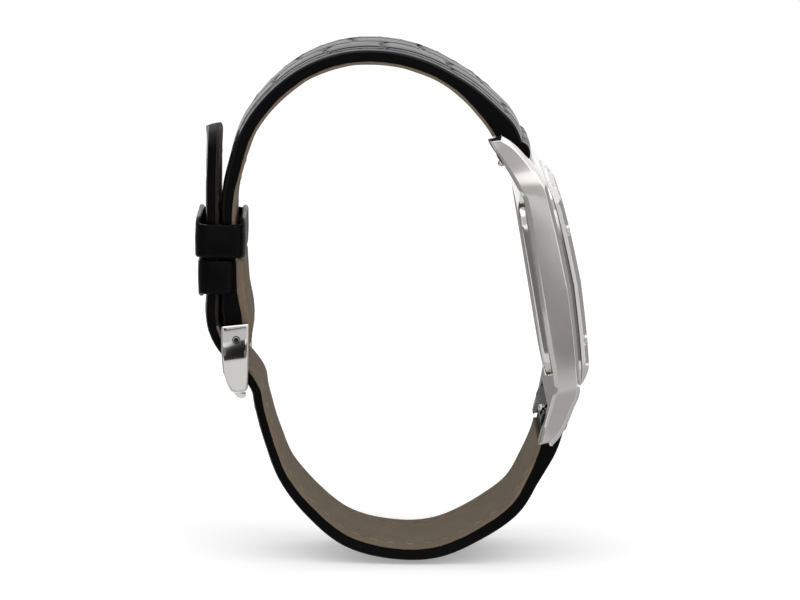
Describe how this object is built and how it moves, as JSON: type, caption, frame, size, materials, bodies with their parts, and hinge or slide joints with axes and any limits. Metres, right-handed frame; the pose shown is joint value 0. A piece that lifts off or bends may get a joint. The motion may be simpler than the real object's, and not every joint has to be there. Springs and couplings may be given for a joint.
{
  "type": "square wristwatch",
  "caption": "Square wristwatch with a screwed bezel, crown and quartz movement on a black leather strap with a light lining, closed to a loop by a pin buckle and keepers.",
  "frame": {"origin": "middle of the flat outer face of the case back", "axes": "+X out of the dial, +Y towards 3 o'clock and the crown, +Z towards 12 o'clock"},
  "size_m": [0.0525, 0.0349, 0.073],
  "materials": {
    "satin_steel": "satin",
    "polished_steel": "polished",
    "movement_steel": "satin",
    "movement_brass": "satin",
    "coil_copper": "satin",
    "board": "matte",
    "holder_plastic": "matte",
    "gasket_rubber": "matte",
    "crystal_gasket": "matte",
    "crystal": "polished",
    "dial": "satin",
    "hands": "polished",
    "black_leather": "glossy, scale-embossed",
    "lining_leather": "matte"
  },
  "bodies": {
    "watch": {"mid_case": "satin_steel", "bezel": "satin_steel", "bezel_screws": "polished_steel", "crystal": "crystal", "crystal_gasket": "crystal_gasket", "dial": "dial", "hour_markers": "polished_steel", "dial_ring": "polished_steel", "case_back": "satin_steel", "case_back_gasket": "gasket_rubber", "case_back_screws": "polished_steel", "movement_holder": "holder_plastic", "crown_tube": "satin_steel", "main_plate": "movement_brass", "train_bridge": "movement_brass", "bridge_screws": "movement_steel", "battery": "movement_steel", "battery_clamp": "movement_brass", "circuit_board": "board", "quartz_can": "movement_steel", "motor_coil": "coil_copper", "stator": "movement_steel", "spring_bar_top": "polished_steel", "spring_bar_bottom": "polished_steel", "strap_top_leather": "black_leather", "strap_top_lining": "lining_leather", "strap_bottom_leather": "black_leather", "strap_bottom_lining": "lining_leather", "fixed_keeper": "black_leather"},
    "rotor": {"rotor": "movement_steel"},
    "intermediate_wheel": {"intermediate_wheel": "movement_brass"},
    "seconds": {"seconds_wheel": "movement_brass", "seconds_hand": "hands"},
    "third_wheel": {"third_wheel": "movement_brass"},
    "minutes": {"centre_wheel": "movement_brass", "minute_hand": "hands"},
    "minute_wheel": {"minute_wheel": "movement_brass"},
    "hours": {"hour_wheel": "movement_brass", "hour_hand": "hands"},
    "sliding_pinion": {"sliding_pinion": "movement_steel"},
    "crown": {"stem": "movement_steel", "crown": "polished_steel", "crown_gasket": "gasket_rubber"},
    "setting_lever": {"setting_lever": "movement_steel"},
    "release_pin_top": {"release_pin_top": "polished_steel"},
    "release_pin_bottom": {"release_pin_bottom": "polished_steel"},
    "plain_pin_top": {"plain_pin_top": "polished_steel"},
    "plain_pin_bottom": {"plain_pin_bottom": "polished_steel"},
    "sliding_keeper": {"sliding_keeper": "black_leather"},
    "buckle": {"buckle_frame": "polished_steel", "buckle_bar": "polished_steel"},
    "buckle_tang": {"buckle_tang": "polished_steel"}
  },
  "joints": [
    {"name": "seconds_turn", "type": "hinge", "parent": "watch", "child": "seconds", "pos_m": [0, 0, 0], "axis": [-1, 0, 0], "continuous": true},
    {"name": "intermediate_turn", "type": "hinge", "parent": "watch", "child": "intermediate_wheel", "pos_m": [0, -0.0015, 0.0026], "axis": [-1, 0, 0], "continuous": true},
    {"name": "rotor_turn", "type": "hinge", "parent": "watch", "child": "rotor", "pos_m": [0, -0.00172, 0.00511], "axis": [-1, 0, 0], "continuous": true},
    {"name": "third_turn", "type": "hinge", "parent": "watch", "child": "third_wheel", "pos_m": [0, 0.00145, -0.0025], "axis": [-1, 0, 0], "continuous": true},
    {"name": "minutes_turn", "type": "hinge", "parent": "watch", "child": "minutes", "pos_m": [0, 0, 0], "axis": [-1, 0, 0], "continuous": true},
    {"name": "minute_wheel_turn", "type": "hinge", "parent": "watch", "child": "minute_wheel", "pos_m": [0, 0.00226, -0.00082], "axis": [-1, 0, 0], "continuous": true},
    {"name": "hours_turn", "type": "hinge", "parent": "watch", "child": "hours", "pos_m": [0, 0, 0], "axis": [-1, 0, 0], "continuous": true},
    {"name": "crown_turn", "type": "hinge", "parent": "watch", "child": "sliding_pinion", "pos_m": [0.0033, 0, 0], "axis": [0, 1, 0], "continuous": true},
    {"name": "crown_pull", "type": "slide", "parent": "sliding_pinion", "child": "crown", "axis": [0, 1, 0], "range_m": [0, 0.001]},
    {"name": "setting_lever_turn", "type": "hinge", "parent": "watch", "child": "setting_lever", "pos_m": [0.0024, 0.0089, 0.0024], "axis": [1, 0, 0], "range_deg": [0, 24]},
    {"name": "release_pin_top_slide", "type": "slide", "parent": "watch", "child": "release_pin_top", "axis": [0, 1, 0], "range_m": [0, 0.0012], "stiffness_N_per_m": 300},
    {"name": "release_pin_bottom_slide", "type": "slide", "parent": "watch", "child": "release_pin_bottom", "axis": [0, 1, 0], "range_m": [0, 0.0012], "stiffness_N_per_m": 300},
    {"name": "plain_pin_top_slide", "type": "slide", "parent": "watch", "child": "plain_pin_top", "axis": [0, -1, 0], "range_m": [0, 0.0012], "stiffness_N_per_m": 300},
    {"name": "plain_pin_bottom_slide", "type": "slide", "parent": "watch", "child": "plain_pin_bottom", "axis": [0, -1, 0], "range_m": [0, 0.0012], "stiffness_N_per_m": 300},
    {"name": "sliding_keeper_slide", "type": "slide", "parent": "watch", "child": "sliding_keeper", "axis": [0.1805, 0, 0.9836], "range_m": [0, 0.001]},
    {"name": "buckle_hinge", "type": "hinge", "parent": "watch", "child": "buckle", "pos_m": [-0.04135, 0, -0.00045], "axis": [0, 1, 0], "range_deg": [0, 4]},
    {"name": "tang_hinge", "type": "hinge", "parent": "buckle", "child": "buckle_tang", "pos_m": [-0.04135, 0, -0.00045], "axis": [0, 1, 0], "range_deg": [0, 5]}
  ],
  "couplings": [
    {"joint": "intermediate_turn", "follows": "seconds_turn", "ratio": -5},
    {"joint": "rotor_turn", "follows": "seconds_turn", "ratio": 30},
    {"joint": "third_turn", "follows": "seconds_turn", "ratio": -0.13333},
    {"joint": "minutes_turn", "follows": "seconds_turn", "ratio": 0.016667},
    {"joint": "minute_wheel_turn", "follows": "seconds_turn", "ratio": -0.0055556},
    {"joint": "hours_turn", "follows": "seconds_turn", "ratio": 0.0013889},
    {"joint": "setting_lever_turn", "follows": "crown_pull", "rad_per_m": 416.67}
  ]
}
